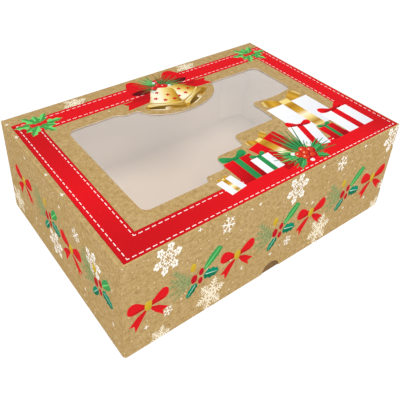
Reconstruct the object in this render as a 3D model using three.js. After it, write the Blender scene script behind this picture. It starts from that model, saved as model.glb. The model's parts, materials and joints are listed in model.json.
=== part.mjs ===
// A printed kraft cookie box: a tray with a full-depth hinged lid that has a die-cut film window.
// Millimetres, +Z up, front at -Y. The origin is on the table, under the middle of the box.
import * as THREE from 'three';

// Outside of the closed box
const BOX_LENGTH = 222;
const BOX_DEPTH = 153;
const BOX_HEIGHT = 74.5;

// Thickness of the sheets and of the glue between them
const BOARD = 0.5;
const GLUE = 0.125;
const FILM = 0.125;

// Clearances: lid walls to tray walls, lid walls to table, tray rim to lid top
const LID_PLAY = 0.75;
const LID_LIFT = 0.625;
const RIM_PLAY = 0.375;

// Lower corners of the lid walls, and the thumb notch in the middle of the front wall
const WALL_CORNER_RADIUS = 2.5;
const NOTCH_WIDTH = 15;
const NOTCH_RISE = 7.5;

// Corner tabs: length, set-back from the wall's edges, narrowing of each end, and glue margin
const LID_TAB_LENGTH = 24;
const BASE_TAB_LENGTH = 28;
const TAB_SETBACK = 1.5;
const TAB_TAPER = 5;
const TAB_GLUE_MARGIN = 5;

// Window: kraft margins to the edges of the lid, and the radius of its corners
const WINDOW_LEFT = 30.25;
const WINDOW_RIGHT = 27.5;
const WINDOW_BACK = 36.25;
const WINDOW_FRONT = 25.75;
const WINDOW_RADIUS = 6;

// Bell lobe: half ellipse that hangs from the window's back edge, and the ribbon shoulder on its left
const LOBE_WIDTH = 67;
const LOBE_DEPTH = 21.25;
const LOBE_OFFSET = 2.5;
const LOBE_FILLET = 3;
const SHOULDER_WIDTH = 16;
const SHOULDER_DEPTH = 3.5;

// Parcel steps in the window's front right corner, from the low left step to the tall right one
const STEPS = [
  { width: 16.5, rise: 4.25 },
  { width: 24.5, rise: 11.75 },
  { width: 38, rise: 11.5 },
  { width: 39.5, rise: 24 },
];
const STEP_RADIUS = 4.5;
const TALL_STEP_DIP = 2.75;

// Film: overlap round the window, glue line width, and the glue's distance from the film's edge
const FILM_OVERLAP = 9;
const FILM_GLUE_WIDTH = 3;
const FILM_GLUE_INSET = 2;

// Looks: colours of the kraft, the white inner side, the film and the glue
const KRAFT_COLOUR = 0xbf9a60;
const WHITE_COLOUR = 0xe9e4dc;
const FILM_COLOUR = 0xe8ecee;
const GLUE_COLOUR = 0xe3d9bd;
const BOARD_ROUGHNESS = 0.8;
const FILM_ROUGHNESS = 0.1;
const GLUE_ROUGHNESS = 0.5;
const FILM_OPACITY = 0.25;

// Fineness of round stretches
const CURVE_STEPS = 8;
const LOBE_STEPS = 32;

// Places worked out from the sizes above
const QUARTER_TURN = Math.PI / 2;
const lidSide = BOX_LENGTH / 2;
const lidFront = -BOX_DEPTH / 2;
const boxBack = BOX_DEPTH / 2;
const lidUnder = BOX_HEIGHT - BOARD;
const lidTabFront = lidFront + BOARD + GLUE;
const baseSide = lidSide - BOARD - LID_PLAY;
const baseFront = lidTabFront + BOARD + LID_PLAY;
const baseRim = lidUnder - RIM_PLAY;
const windowEdge = {
  left: -lidSide + WINDOW_LEFT,
  right: lidSide - WINDOW_RIGHT,
  back: boxBack - WINDOW_BACK,
  front: lidFront + WINDOW_FRONT,
};

function material(color, roughness, options = {}) {
  return new THREE.MeshStandardMaterial({ color, roughness, metalness: 0, ...options });
}

const kraft = () => material(KRAFT_COLOUR, BOARD_ROUGHNESS);
const whiteBoard = () => material(WHITE_COLOUR, BOARD_ROUGHNESS);
const glue = () => material(GLUE_COLOUR, GLUE_ROUGHNESS);
const film = () => material(FILM_COLOUR, FILM_ROUGHNESS, { transparent: true, opacity: FILM_OPACITY });

function named(name, geometry, meshMaterial) {
  const mesh = new THREE.Mesh(geometry, meshMaterial);
  mesh.name = name;
  return mesh;
}

// Block between two corners
function block(name, low, high, meshMaterial) {
  const size = high.map((value, axis) => value - low[axis]);
  const mesh = named(name, new THREE.BoxGeometry(...size), meshMaterial);
  mesh.position.set(...low.map((value, axis) => value + size[axis] / 2));
  return mesh;
}

// Sheet of a flat outline, as thick as given
function sheet(outline, thickness) {
  const options = { depth: thickness, bevelEnabled: false, curveSegments: CURVE_STEPS };
  return new THREE.ExtrudeGeometry(outline, options);
}

// Stands a sheet drawn in x and z upright, with its back face at y
function standAcross(mesh, y) {
  mesh.rotation.set(QUARTER_TURN, 0, 0);
  mesh.position.y = y;
  return mesh;
}

// Stands a sheet drawn in y and z upright, with its left face at x
function standAlong(mesh, x) {
  mesh.rotation.set(QUARTER_TURN, 0, QUARTER_TURN, 'ZYX');
  mesh.position.x = x;
  return mesh;
}

// Continues a path round corners {x, y, radius}; a corner with no radius stays sharp
function roundCorners(path, corners) {
  corners.forEach((corner, i) => {
    if (!corner.radius) {
      path.lineTo(corner.x, corner.y);
      return;
    }
    const here = new THREE.Vector2(corner.x, corner.y);
    const next = corners[i + 1];
    const before = path.currentPoint.clone().sub(here);
    const after = new THREE.Vector2(next.x, next.y).sub(here);
    const room = next.radius ? after.length() / 2 : after.length();
    const reach = Math.min(corner.radius, before.length(), room);
    const start = here.clone().add(before.setLength(reach));
    const end = here.clone().add(after.setLength(reach));
    path.lineTo(start.x, start.y);
    path.quadraticCurveTo(here.x, here.y, end.x, end.y);
  });
}

// Points along an ellipse from one angle to another
function ellipsePoints(middle, radii, from, to, steps) {
  return Array.from({ length: steps + 1 }, (_, i) => {
    const angle = from + ((to - from) * i) / steps;
    return { x: middle.x + radii.x * Math.cos(angle), y: middle.y + radii.y * Math.sin(angle) };
  });
}

// Steps of the window's edge over the parcels, from the front edge up to the right edge
function parcelSteps() {
  const corners = [];
  let x = windowEdge.right - STEPS.reduce((sum, step) => sum + step.width, 0);
  let y = windowEdge.front;
  for (const step of STEPS) {
    corners.push({ x, y, radius: STEP_RADIUS });
    y += step.rise;
    corners.push({ x, y, radius: STEP_RADIUS });
    x += step.width;
  }
  const tall = STEPS[STEPS.length - 1];
  corners.push({ x: x - tall.width / 2, y: y - TALL_STEP_DIP, radius: tall.width / 4 });
  corners.push({ x, y, radius: STEP_RADIUS });
  return corners;
}

// Bell lobe and ribbon shoulder on the window's back edge, from right to left
function bellLobe() {
  const middle = { x: (windowEdge.left + windowEdge.right) / 2 + LOBE_OFFSET, y: windowEdge.back };
  const radii = { x: LOBE_WIDTH / 2, y: LOBE_DEPTH };
  const rightEnd = -Math.asin(LOBE_FILLET / LOBE_DEPTH);
  const leftEnd = -Math.PI + Math.asin((SHOULDER_DEPTH + LOBE_FILLET) / LOBE_DEPTH);
  const edge = ellipsePoints(middle, radii, rightEnd, leftEnd, LOBE_STEPS);
  const lobeLeft = edge[LOBE_STEPS].x;
  const shoulder = windowEdge.back - SHOULDER_DEPTH;
  return [
    { x: edge[0].x, y: windowEdge.back, radius: LOBE_FILLET },
    ...edge,
    { x: lobeLeft, y: shoulder, radius: LOBE_FILLET },
    { x: lobeLeft - SHOULDER_WIDTH + SHOULDER_DEPTH, y: shoulder, radius: LOBE_FILLET },
    { x: lobeLeft - SHOULDER_WIDTH, y: windowEdge.back, radius: LOBE_FILLET },
  ];
}

// Edge of the window, counter-clockwise from the middle of its left side
function windowOutline() {
  const { left, right, back, front } = windowEdge;
  const start = { x: left, y: (front + back) / 2 };
  const path = new THREE.Path();
  path.moveTo(start.x, start.y);
  roundCorners(path, [
    { x: left, y: front, radius: WINDOW_RADIUS },
    ...parcelSteps(),
    { x: right, y: back, radius: WINDOW_RADIUS },
    ...bellLobe(),
    { x: left, y: back, radius: WINDOW_RADIUS },
    start,
  ]);
  return path;
}

function rectangle(left, low, right, high) {
  const outline = new THREE.Shape();
  outline.moveTo(left, low);
  outline.lineTo(right, low);
  outline.lineTo(right, high);
  outline.lineTo(left, high);
  outline.closePath();
  return outline;
}

function lidTopPanel() {
  const outline = rectangle(-lidSide, lidFront, lidSide, boxBack);
  outline.holes.push(windowOutline());
  const mesh = named('lid_top_panel', sheet(outline, BOARD), kraft());
  mesh.position.z = lidUnder;
  return mesh;
}

// Wall of the lid with its lower corners rounded, from low to high along x or y
function lidWallOutline(low, high, edgePoints = []) {
  const outline = new THREE.Shape();
  outline.moveTo(low, lidUnder);
  roundCorners(outline, [
    { x: low, y: LID_LIFT, radius: WALL_CORNER_RADIUS },
    ...edgePoints,
    { x: high, y: LID_LIFT, radius: WALL_CORNER_RADIUS },
    { x: high, y: lidUnder },
  ]);
  outline.closePath();
  return outline;
}

function lidFrontWall() {
  const notch = { x: NOTCH_WIDTH / 2, y: NOTCH_RISE };
  const notchEdge = ellipsePoints({ x: 0, y: LID_LIFT }, notch, Math.PI, 0, 2 * CURVE_STEPS);
  const outline = lidWallOutline(-lidSide, lidSide, notchEdge);
  return standAcross(named('lid_front_wall', sheet(outline, BOARD), kraft()), lidFront + BOARD);
}

function lidSideWall(name, left) {
  const outline = lidWallOutline(lidFront + BOARD, boxBack);
  return standAlong(named(name, sheet(outline, BOARD), kraft()), left);
}

// Corner tab with tapered ends; inward is +1 for a tab that points to +X, or -1
function cornerTab(name, root, inward, length, low, high, backFace, tabMaterial) {
  const tip = root + inward * length;
  const outline = new THREE.Shape();
  outline.moveTo(root, low + TAB_SETBACK);
  outline.lineTo(tip, low + TAB_SETBACK + TAB_TAPER);
  outline.lineTo(tip, high - TAB_SETBACK - TAB_TAPER);
  outline.lineTo(root, high - TAB_SETBACK);
  outline.closePath();
  return standAcross(named(name, sheet(outline, BOARD), tabMaterial), backFace);
}

// Glue layer that fills the gap between a corner tab and the wall it is glued to
function tabGlue(name, root, inward, length, low, high, frontFace) {
  const ends = [root + inward * TAB_GLUE_MARGIN, root + inward * (length - TAB_GLUE_MARGIN)];
  const trim = TAB_SETBACK + TAB_TAPER;
  return block(
    name,
    [Math.min(...ends), frontFace, low + trim],
    [Math.max(...ends), frontFace + GLUE, high - trim],
    glue(),
  );
}

function windowFilm() {
  const top = lidUnder - GLUE;
  return block(
    'window_film',
    [windowEdge.left - FILM_OVERLAP, windowEdge.front - FILM_OVERLAP, top - FILM],
    [windowEdge.right + FILM_OVERLAP, windowEdge.back + FILM_OVERLAP, top],
    film(),
  );
}

// Glue line round the window, between the lid and the film
function windowGlueLine() {
  const outer = FILM_OVERLAP - FILM_GLUE_INSET;
  const inner = outer - FILM_GLUE_WIDTH;
  const { left, right, back, front } = windowEdge;
  const outline = rectangle(left - outer, front - outer, right + outer, back + outer);
  outline.holes.push(rectangle(left - inner, front - inner, right + inner, back + inner));
  const mesh = named('window_glue_line', sheet(outline, GLUE), glue());
  mesh.position.z = lidUnder - GLUE;
  return mesh;
}

function makeLid() {
  const lid = new THREE.Group();
  lid.add(lidTopPanel(), lidFrontWall());
  lid.add(lidSideWall('lid_left_wall', -lidSide), lidSideWall('lid_right_wall', lidSide - BOARD));
  for (const [side, inward] of [['left', 1], ['right', -1]]) {
    const root = -inward * (lidSide - BOARD);
    const span = [LID_TAB_LENGTH, LID_LIFT, lidUnder];
    lid.add(cornerTab(`lid_${side}_corner_tab`, root, inward, ...span, lidTabFront + BOARD, kraft()));
    lid.add(tabGlue(`lid_${side}_tab_glue`, root, inward, ...span, lidFront + BOARD));
  }
  lid.add(windowFilm(), windowGlueLine());
  return lid;
}

function makeBase() {
  const base = new THREE.Group();
  const inFront = baseFront + BOARD;
  const inBack = boxBack - BOARD;
  const wall = (name, low, high) => block(name, low, high, whiteBoard());
  base.add(wall('base_floor', [-baseSide, baseFront, 0], [baseSide, boxBack, BOARD]));
  base.add(wall('base_front_wall', [-baseSide, baseFront, BOARD], [baseSide, inFront, baseRim]));
  base.add(block('base_back_wall', [-baseSide, inBack, BOARD], [baseSide, boxBack, lidUnder], kraft()));
  base.add(wall('base_left_wall', [-baseSide, inFront, BOARD], [BOARD - baseSide, inBack, baseRim]));
  base.add(wall('base_right_wall', [baseSide - BOARD, inFront, BOARD], [baseSide, inBack, baseRim]));
  for (const [side, inward] of [['left', 1], ['right', -1]]) {
    const root = -inward * (baseSide - BOARD);
    const span = [BASE_TAB_LENGTH, BOARD, baseRim];
    const tab = (name, backFace) => cornerTab(name, root, inward, ...span, backFace, whiteBoard());
    base.add(tab(`base_front_${side}_tab`, inFront + GLUE + BOARD));
    base.add(tabGlue(`base_front_${side}_glue`, root, inward, ...span, inFront));
    base.add(tab(`base_back_${side}_tab`, inBack - GLUE));
    base.add(tabGlue(`base_back_${side}_glue`, root, inward, ...span, inBack - GLUE));
  }
  return base;
}

const cookieBox = new THREE.Group();
cookieBox.add(makeBase(), makeLid());

export default cookieBox;
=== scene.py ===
"""Looks of a printed kraft cookie box with a film window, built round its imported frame."""
import json
import random
from collections import namedtuple
from math import cos, pi, radians, sin

import bpy
from mathutils import Color, Matrix, Vector
from mathutils.geometry import delaunay_2d_cdt

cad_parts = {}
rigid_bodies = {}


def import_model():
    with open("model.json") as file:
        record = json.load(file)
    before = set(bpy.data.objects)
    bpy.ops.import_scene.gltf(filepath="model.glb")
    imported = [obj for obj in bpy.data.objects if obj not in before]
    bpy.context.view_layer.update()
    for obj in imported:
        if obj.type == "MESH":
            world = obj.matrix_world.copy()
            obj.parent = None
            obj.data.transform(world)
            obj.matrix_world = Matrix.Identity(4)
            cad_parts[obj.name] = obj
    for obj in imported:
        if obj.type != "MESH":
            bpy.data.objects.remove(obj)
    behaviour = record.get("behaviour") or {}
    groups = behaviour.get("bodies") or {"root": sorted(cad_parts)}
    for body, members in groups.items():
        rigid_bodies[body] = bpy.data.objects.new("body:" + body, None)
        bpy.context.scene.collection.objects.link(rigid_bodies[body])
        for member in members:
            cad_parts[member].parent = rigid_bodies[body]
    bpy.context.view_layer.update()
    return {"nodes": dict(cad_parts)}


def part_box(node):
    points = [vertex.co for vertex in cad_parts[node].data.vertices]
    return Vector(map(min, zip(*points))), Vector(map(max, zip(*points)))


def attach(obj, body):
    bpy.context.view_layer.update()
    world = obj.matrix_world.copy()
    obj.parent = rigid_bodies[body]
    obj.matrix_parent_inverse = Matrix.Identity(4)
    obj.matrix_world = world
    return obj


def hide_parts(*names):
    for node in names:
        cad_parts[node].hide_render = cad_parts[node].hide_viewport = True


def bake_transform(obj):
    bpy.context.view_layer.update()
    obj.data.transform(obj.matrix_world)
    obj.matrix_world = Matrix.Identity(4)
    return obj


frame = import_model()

# Shapes are drawn in millimetres, and meshes are made in metres
MM = 0.001

# Folds: outside radius, steps round the bend, and how far the hinge crease reaches into its panels
FOLD_RADIUS = 0.6
FOLD_STEPS = 6
CREASE_REACH = 1.6

# Lower corners of the lid walls, the thumb notch, and the narrowing of the tabs' ends
WALL_CORNER_RADIUS = 2.5
NOTCH_WIDTH = 15.0
NOTCH_RISE = 7.5
TAB_TAPER = 5.0

# Bow of the tray's front edge, out to the lid between the glued tabs, and the grid that carries it
TRAY_BOW = 1.3
BOW_GRID = 9.0

# Film: height, length and slants of its soft waves, and the grid that carries them
FILM_WAVE = 0.03
FILM_WAVE_LENGTH = 70.0
FILM_WAVE_SLANTS = (40.0, 90.0)
FILM_GRID = 5.0

# Fineness of drawn curves, and the distance below which two drawn points are one, also in digits
CURVE_STEPS = 6
ROUND_STEPS = 20
BALL_STEPS = 10
LOBE_STEPS = 8
SAME_POINT = 1e-3
SPOT_DIGITS = 3

TURN = 2 * pi
QUARTER = pi / 2
SIXTH = pi / 3


def node_box(name):
    """Lowest and highest corner of a CAD node, in millimetres."""
    low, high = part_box(name)
    return low / MM, high / MM


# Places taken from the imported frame
top_low, top_high = node_box("lid_top_panel")
lid_side, box_back, box_top = top_high
lid_front = top_low.y
BOARD = top_high.z - top_low.z
lid_bottom = node_box("lid_front_wall")[0].z
lid_tab_front = node_box("lid_left_corner_tab")[0].y
tray_low, tray_high = node_box("base_floor")
tray_side, tray_front = tray_high.x, tray_low.y
tray_rim = node_box("base_front_wall")[1].z
tab_low, tab_high = node_box("base_front_left_tab")
tray_tab_front, tray_tab_tip = tab_low.y, -tab_high.x
tray_tab_back = node_box("base_back_left_tab")[1].y
film_low, film_high = node_box("window_film")


# Colours

# Share of the light that print gives back where the photo shows full white
PRINT_LEVEL = 0.96


def colour(code, level=1.0, cover=1.0):
    """Linear colour of a hex code at a level, with the share of the board that it covers."""
    shown = Color([part / 255 for part in bytes.fromhex(code)]).from_srgb_to_scene_linear()
    return (*(shown * level), cover)


def ink(code, cover=1.0):
    """Colour of kraft or print, from its look in strong studio light."""
    return colour(code, PRINT_LEVEL, cover)


RIBBON = ink("e11720")
RIBBON_MID = ink("d0161e")
RIBBON_SHADE = ink("c2151d")
RIBBON_EDGE = ink("b4131a")
STITCH = ink("fff3ee")
BOW = ink("dd161e")
BOW_SHADE = ink("b9121a")
BOW_DEEP = ink("8f1016")
BOW_INSIDE = ink("420709")
KNOT = ink("d6b62e")
KNOT_SHADE = ink("c39c28")
BERRY = ink("b01021")
BERRY_MID = ink("cb1523")
BERRY_LIGHT = ink("e5302d")
BERRY_WARM = ink("f2551f")
GLINT = ink("fff1e4")
LEAF = ink("3c9f5c")
LEAF_LIGHT = ink("72d672")
LEAF_DARK = ink("46994c")
TEAL = ink("048c69")
TEAL_DARK = ink("04714f")
VEIN = ink("d8f2e4")
SPRIG_GREENS = (ink("76965e", 0.7), ink("5a8155", 0.7), ink("93ad77", 0.65))
PINE = ink("2f7a3f")
PINE_DARK = ink("1d5a30")
PINE_LIGHT = ink("79b46c")
PINE_BROWN = ink("7a6a2c")
SNOW = ink("fffaf0", 0.96)
CREAM = ink("fdf3da", 0.84)
SILVER = ink("dfe6ea")
GOLD_DEEP = ink("8a5f17")
GOLD_DARK = ink("b07d20")
GOLD = ink("d7a63a")
GOLD_LIGHT = ink("f3dd8c")
GOLD_WHITE = ink("fff6d6")
MOUTH = ink("4a3410")
MOUTH_LIGHT = ink("a57a28")
WHITE_WRAP = (ink("fafafa"), ink("e6e8ee"))
RED_WRAP = (ink("e6151f"), ink("8f0d14"))
GREEN_WRAP = (ink("2f9553"), ink("1f7040"))
GOLD_WRAP = (GOLD, GOLD_DARK)


# Drawing on flat board

def between(start, end, share):
    return tuple(a + (b - a) * share for a, b in zip(start, end))


def pairs(items):
    """Neighbours round a closed loop."""
    return zip(items, items[1:] + items[:1])


def open_edges(cells):
    """Edges that only one cell has, in that cell's direction."""
    edges = dict.fromkeys(edge for cell in cells for edge in pairs(cell))
    return [(i, j) for i, j in edges if (j, i) not in edges]


def polar(reach, angle, x=0.0):
    """Point at a distance and an angle from a place on the x axis."""
    return x + reach * cos(angle), reach * sin(angle)


class Fade(namedtuple("Fade", "start end first last")):
    """Paint that runs from one colour at a start point to another at an end point."""

    def moved(self, move):
        return self._replace(start=move(self.start), end=move(self.end))

    def at(self, x, y):
        start = Vector(self.start)
        run = Vector(self.end) - start
        share = (Vector((x, y)) - start).dot(run) / run.length_squared
        return between(self.first, self.last, min(1.0, max(0.0, share)))


def lit(x, y, across, up, light, dark):
    """Paint of a shape that is lit from its upper left."""
    return Fade((x - across, y + up), (x + across, y - up), light, dark)


def counter_clockwise(points):
    area = sum(a[0] * b[1] - b[0] * a[1] for a, b in pairs(points))
    return points if area > 0 else points[::-1]


def rectangle(left, low, right, high):
    return [(left, low), (right, low), (right, high), (left, high)]


def ellipse(x, y, across, up, first=0.0, last=TURN, steps=ROUND_STEPS):
    """Points round an ellipse; a full turn has no repeated last point."""
    count = steps if last - first >= TURN else steps + 1
    angles = [first + (last - first) * i / steps for i in range(count)]
    return [(x + across * cos(a), y + up * sin(a)) for a in angles]


def stroke(start, end, width, tip=None):
    """Straight line of a width, which may narrow to another width at its tip."""
    tip = width if tip is None else tip
    start, end = Vector(start), Vector(end)
    aside = (end - start).orthogonal().normalized() / 2
    far = [end - aside * tip, end + aside * tip] if tip else [end]
    return [tuple(p) for p in (start - aside * width, *far, start + aside * width)]


def smooth(points, closed=True):
    points = list(points)
    run = points[-1:] + points + points[:2] if closed else points[:1] + points + points[-1:]
    curve = []
    for corners in zip(run, run[1:], run[2:], run[3:]):
        a, b, c, d = (Vector(p) for p in corners)
        for step in range(CURVE_STEPS):
            t = step / CURVE_STEPS
            curve.append(tuple(0.5 * (2 * b + (c - a) * t + (2 * a - 5 * b + 4 * c - d) * t ** 2
                                      + (3 * b - a - 3 * c + d) * t ** 3)))
    return curve if closed else curve + points[-1:]


def star(points, outer, inner):
    """Star with its first point straight up."""
    return [polar(inner if i % 2 else outer, QUARTER + i * pi / points) for i in range(2 * points)]


def rounded(corners):
    """Outline through corners (x, y) or (x, y, radius), with the latter rounded off."""
    outline = []
    for last, (x, y, *radius), coming in zip(corners[-1:] + corners, corners, corners[1:] + corners[:1]):
        here = Vector((x, y))
        before, after = ((Vector(c[:2]) - here).normalized() * sum(radius) for c in (last, coming))
        for step in range(CURVE_STEPS + 1 if radius else 1):
            t = step / CURVE_STEPS
            outline.append(tuple(here + before * (1 - t) ** 2 + after * t ** 2))
    return outline


class Panel:
    """Flat board: outline, holes and score lines, with ink shapes that cover the earlier ones."""

    def __init__(self, outline, holes=(), scores=()):
        self.outline, self.holes, self.scores, self.inks = outline, list(holes), list(scores), []

    def paint_of(self, owners):
        """Paint of the topmost ink shape over a triangle, or None on bare board."""
        shown = {owner - 1 - len(self.holes) for owner in owners}
        for i in sorted(shown, reverse=True):
            if i >= 0 and self.inks[i][2] in (None, *shown):
                return self.inks[i][1]
        return None

    def cut(self):
        """Triangles of the board: their flat points, corners and paints."""
        shapes = [self.outline, *self.holes, *(drawn[0] for drawn in self.inks)]
        points, runs = [], []
        for shape in shapes + self.scores:
            runs.append(list(range(len(points), len(points) + len(shape))))
            points.extend(Vector(p) for p in shape)
        count = len(shapes)
        found = delaunay_2d_cdt(points, runs[count:], runs[:count], 1, SAME_POINT)
        holes = set(range(1, 1 + len(self.holes)))

        # Points that lie on one spot become one, and two triangles on the same spots cancel out
        spots, kept = {}, {}
        near = [tuple(round(c, SPOT_DIGITS) for c in point) for point in found[0]]
        spot_of = [spots.setdefault(point, len(spots)) for point in near]
        for cell, owners in zip(found[2], found[5]):
            corners = [spot_of[i] for i in cell]
            key = frozenset(corners)
            if 0 not in owners or holes & set(owners) or len(key) < len(corners):
                continue
            if kept.pop(key, None) is None:
                kept[key] = (corners, self.paint_of(owners))

        cells, paints = zip(*kept.values())
        used = sorted({i for cell in cells for i in cell})
        new = {old: i for i, old in enumerate(used)}
        flat = list(spots)
        return [flat[i] for i in used], [[new[i] for i in cell] for cell in cells], paints


class Pen:
    """Draws on a panel from a place, size, turn and mirror of its own."""

    def __init__(self, panel, at=(0, 0), size=1.0, turn=0.0, flip=1, parent=None):
        self.panel, self.at, self.flip, self.parent = panel, at, flip, parent
        self.cosine, self.sine = size * cos(turn), size * sin(turn)

    def child(self, at=(0, 0), size=1.0, turn=0.0, flip=1):
        return Pen(self.panel, at, size, turn, flip, self)

    def move(self, point):
        x, y = point[0] * self.flip, point[1]
        moved = (self.at[0] + x * self.cosine - y * self.sine, self.at[1] + x * self.sine + y * self.cosine)
        return self.parent.move(moved) if self.parent else moved

    def fill(self, points, paint, inside=None):
        """Adds an ink shape and gives its number; inside is the number of a shape that it keeps within."""
        paint = paint.moved(self.move) if isinstance(paint, Fade) else paint
        inks = self.panel.inks
        inks.append((counter_clockwise([self.move(p) for p in points]), paint, inside))
        return len(inks) - 1

    def halves(self):
        """Pens for a shape's left half, which is mirrored, and its right half."""
        return self.child(flip=-1), self.child()

    def each(self, draw, rows, *looks, turned=False):
        """Draws at the place, and turn, that begins each row, with the rest of the row and the looks."""
        for x, y, *row in rows:
            turn = row.pop(0) if turned else 0.0
            draw(self.child((x, y), turn=turn), *row, *looks)

    def shine(self, inside, start, end, width, stops):
        """Runs of colour from start to end, kept inside an earlier shape."""
        for (first, first_paint), (last, last_paint) in zip(stops, stops[1:]):
            a, b = between(start, end, first), between(start, end, last)
            self.fill(stroke(a, b, width), Fade(a, b, first_paint, last_paint), inside)


# Ornaments: outlines in millimetres or in shares of a size, runs of colour, and tables. A table's row is
# x, y, a turn where the shape is turned, and then what its function takes after the pen. In the
# functions half is half a width

HOLLY_EDGE = ((0.1, 0.34), (0.2, 0.95), (0.34, 0.5), (0.5, 1), (0.62, 0.46), (0.78, 0.68), (0.86, 0.26))
TEAL_EDGE = ((0.06, 0.4), (0.2, 0.95), (0.34, 0.72), (0.52, 1), (0.66, 0.7), (0.82, 0.76), (0.9, 0.36))
FEATHER_TEETH = 7
BOW_LOOP = (
    (0.6, 1.4), (3.3, 3.1), (6.4, 6.1), (9.4, 7.7), (11.9, 7), (13.2, 4.2), (13, 1.2), (11, -1),
    (8.2, -1.5), (4.6, -1.4), (0.6, -1),
)
BOW_CREASE = ((1.5, -0.6), (6, 0.2), (11.6, -0.3), (8.2, -1.3), (4.6, -1.2))
BOW_TAILS = (
    ((0.3, -1), (-7.2, -4.7), (-12.6, -10.3), (-9.2, -11), (-8.5, -16.6), (-2, -5.4)),
    ((-0.3, -1), (4.2, -8.4), (10.2, -14.8), (9.4, -10.7), (13.3, -9.9), (7, -4.4)),
)
BOW_KNOT = ((-1.9, 2.8), (0.4, 3.7), (2.1, 2.6), (2.2, 0), (1.8, -3), (-0.2, -3.8), (-1.9, -2.9), (-2.4, 0))
PARCEL_LOOP = ((0, 0.1), (0.36, 0.62), (0.74, 1), (1, 0.86), (1.04, 0.3), (0.74, 0.02), (0.3, 0))
PARCEL_LOOP_SHADE = ((0.1, 0), (0.92, 0.36), (0.6, 0))
GOLD_BOW_SHINE = ((0, GOLD_LIGHT), (0.25, GOLD_DARK), (0.6, GOLD), (0.85, GOLD_DARK), (1, GOLD_LIGHT))
GOLD_BAND_SHINE = (
    (0, GOLD), (0.15, GOLD_DARK), (0.4, GOLD), (0.55, GOLD_WHITE), (0.68, GOLD_LIGHT), (0.86, GOLD_DARK),
    (1, GOLD_LIGHT),
)

# Snowflakes: lobes of an arm and of the gap between arms, and branches (place on the arm, length)
FLAKE_LOBES = (
    (0.3, 0, 0.2, 0.05), (0.58, 0.15, 0.12, 0.08), (0.58, -0.15, 0.12, 0.08), (0.64, 0, 0.14, 0.06),
    (0.83, 0.15, 0.13, 0.12), (0.83, -0.15, 0.13, 0.12), (0.99, 0, 0.12, 0.11),
)
GAP_LOBES = ((0.32, 0, 0.07, 0.1), (0.5, 0, 0.07, 0.05))
LACE_BRANCHES = ((0.28, 0.26), (0.46, 0.34), (0.64, 0.28), (0.8, 0.2))
SMALL_BRANCHES = ((0.62, 0.34),)
LACE_STAR_TURN = 0.1
SMALL_FLAKE_TURN = 0.54

# Snow flecks: least and most size, unevenness and cover, and the share and size of large ones
SPECK_SIZE = (0.22, 0.46)
SPECK_UNEVENNESS = (0.6, 1.3)
SPECK_COVER = (0.5, 0.95)
LARGE_SPECKS = 0.12
LARGE_SPECK_SIZE = 1.7

# Wall clusters: sprigs, a bulb (x, y, half its width and height), leaves and berries
SPRIG_WIDTH = 0.8
SPRIG_SPREAD = 0.7
CLUSTER_SPRIGS = (
    (-6, -2, 2.22, 20, 18, 9), (-6.2, -1.6, 2.51, 17, 14, 7), (-6, -1, 2.8, 17, 13, 6.5),
    (-6.3, -0.8, 3.27, 15, 12, 6.5), (-6, -1, 3.7, 14, 11, 6),
)
CLUSTER_BULB = (-5.4, 10, 1.9, 3.4)
CLUSTER_BULB_SHADE = ((-7.6, 12), (-4, 7))
CLUSTER_FEATHERS = ((2.8, 3.6, 0.84),)
FEATHER_HALF = 3.7
CLUSTER_LEAVES = ((2.4, -0.6, -0.3, 12, 4.3, TEAL, TEAL_DARK), (-2.6, -4.4, -2.2, 11.4, 3, TEAL_DARK, TEAL))
CLUSTER_BERRIES = ((-4.4, 0, 2.3, 3.6), (0.6, 3.2, 1.8, 2.9), (0.2, -4, 1.7, 2.7))

# Corner holly: turn in degrees and length of each leaf, half their width, and the berries
HOLLY_RING = (
    (52, 14.5), (88, 11.5), (122, 15), (168, 16.5), (205, 12), (232, 14.5), (298, 15), (330, 12),
    (356, 16.5),
)
HOLLY_HALF = 3.4
HOLLY_BERRIES = ((-4, 0.4), (3.9, 0.6), (0, 0))
HOLLY_BERRY = (2.2, 2)
HOLLY_BERRY_SHADE = (2, 2)

# Bells: right side, places of stars and a star (points, outer and inner radius), bands (level, rise,
# colours) and shine of a bell, then the pair and its pine
BELL_SIDE = ((0.26, 0), (0.5, 0.07), (0.6, 0.26), (0.66, 0.5), (0.78, 0.74), (1, 0.92))
BELL_STARS = ((-0.3, -0.24), (0.18, -0.36), (-0.42, -0.52), (0, -0.6), (0.44, -0.56))
BELL_STAR = (5, 2.2, 1)
BELL_BANDS = ((-0.68, 0.05, GOLD_DARK, GOLD_LIGHT), (-0.8, 0.09, GOLD_LIGHT, GOLD_DARK))
BELL_SHINE = (
    (0, GOLD_DEEP), (0.1, GOLD), (0.24, GOLD_WHITE), (0.4, GOLD_WHITE), (0.54, GOLD_LIGHT), (0.7, GOLD),
    (0.88, GOLD_DEEP), (1, GOLD),
)
BELL_PAIR = ((3, -0.5, 0.5, 15, 29), (0.5, -0.5, -0.44, 15.8, 29))
BACK_NEEDLES = (PINE_DARK, PINE_BROWN, PINE)
FANS_BEHIND = (
    (1, 3, 1.7, 3.3, 17, 19, 1, BACK_NEEDLES), (1, 3, -0.3, 1.3, 17, 19, 1, BACK_NEEDLES),
    (-2, 5, 1.4, 2.5, 11, 19, 1, (PINE_LIGHT, PINE, LEAF_LIGHT)),
)
FANS_BEFORE = (
    (3, 1, -0.4, 0.6, 11, 18, 0.9, (PINE_LIGHT, PINE_DARK, PINE)),
    (-3, 0, 2.8, 3.7, 8, 11, 0.7, (PINE, PINE_BROWN)),
)
BELL_BERRIES = ((-4.6, 2, 2.6), (0.2, 3.8, 2.5), (3.6, 1, 2.8))
BELL_BALLS = ((-0.6, 8.6), (-7.6, -2.4), (7.4, -0.4))
BELL_BALL = 1.3

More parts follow.
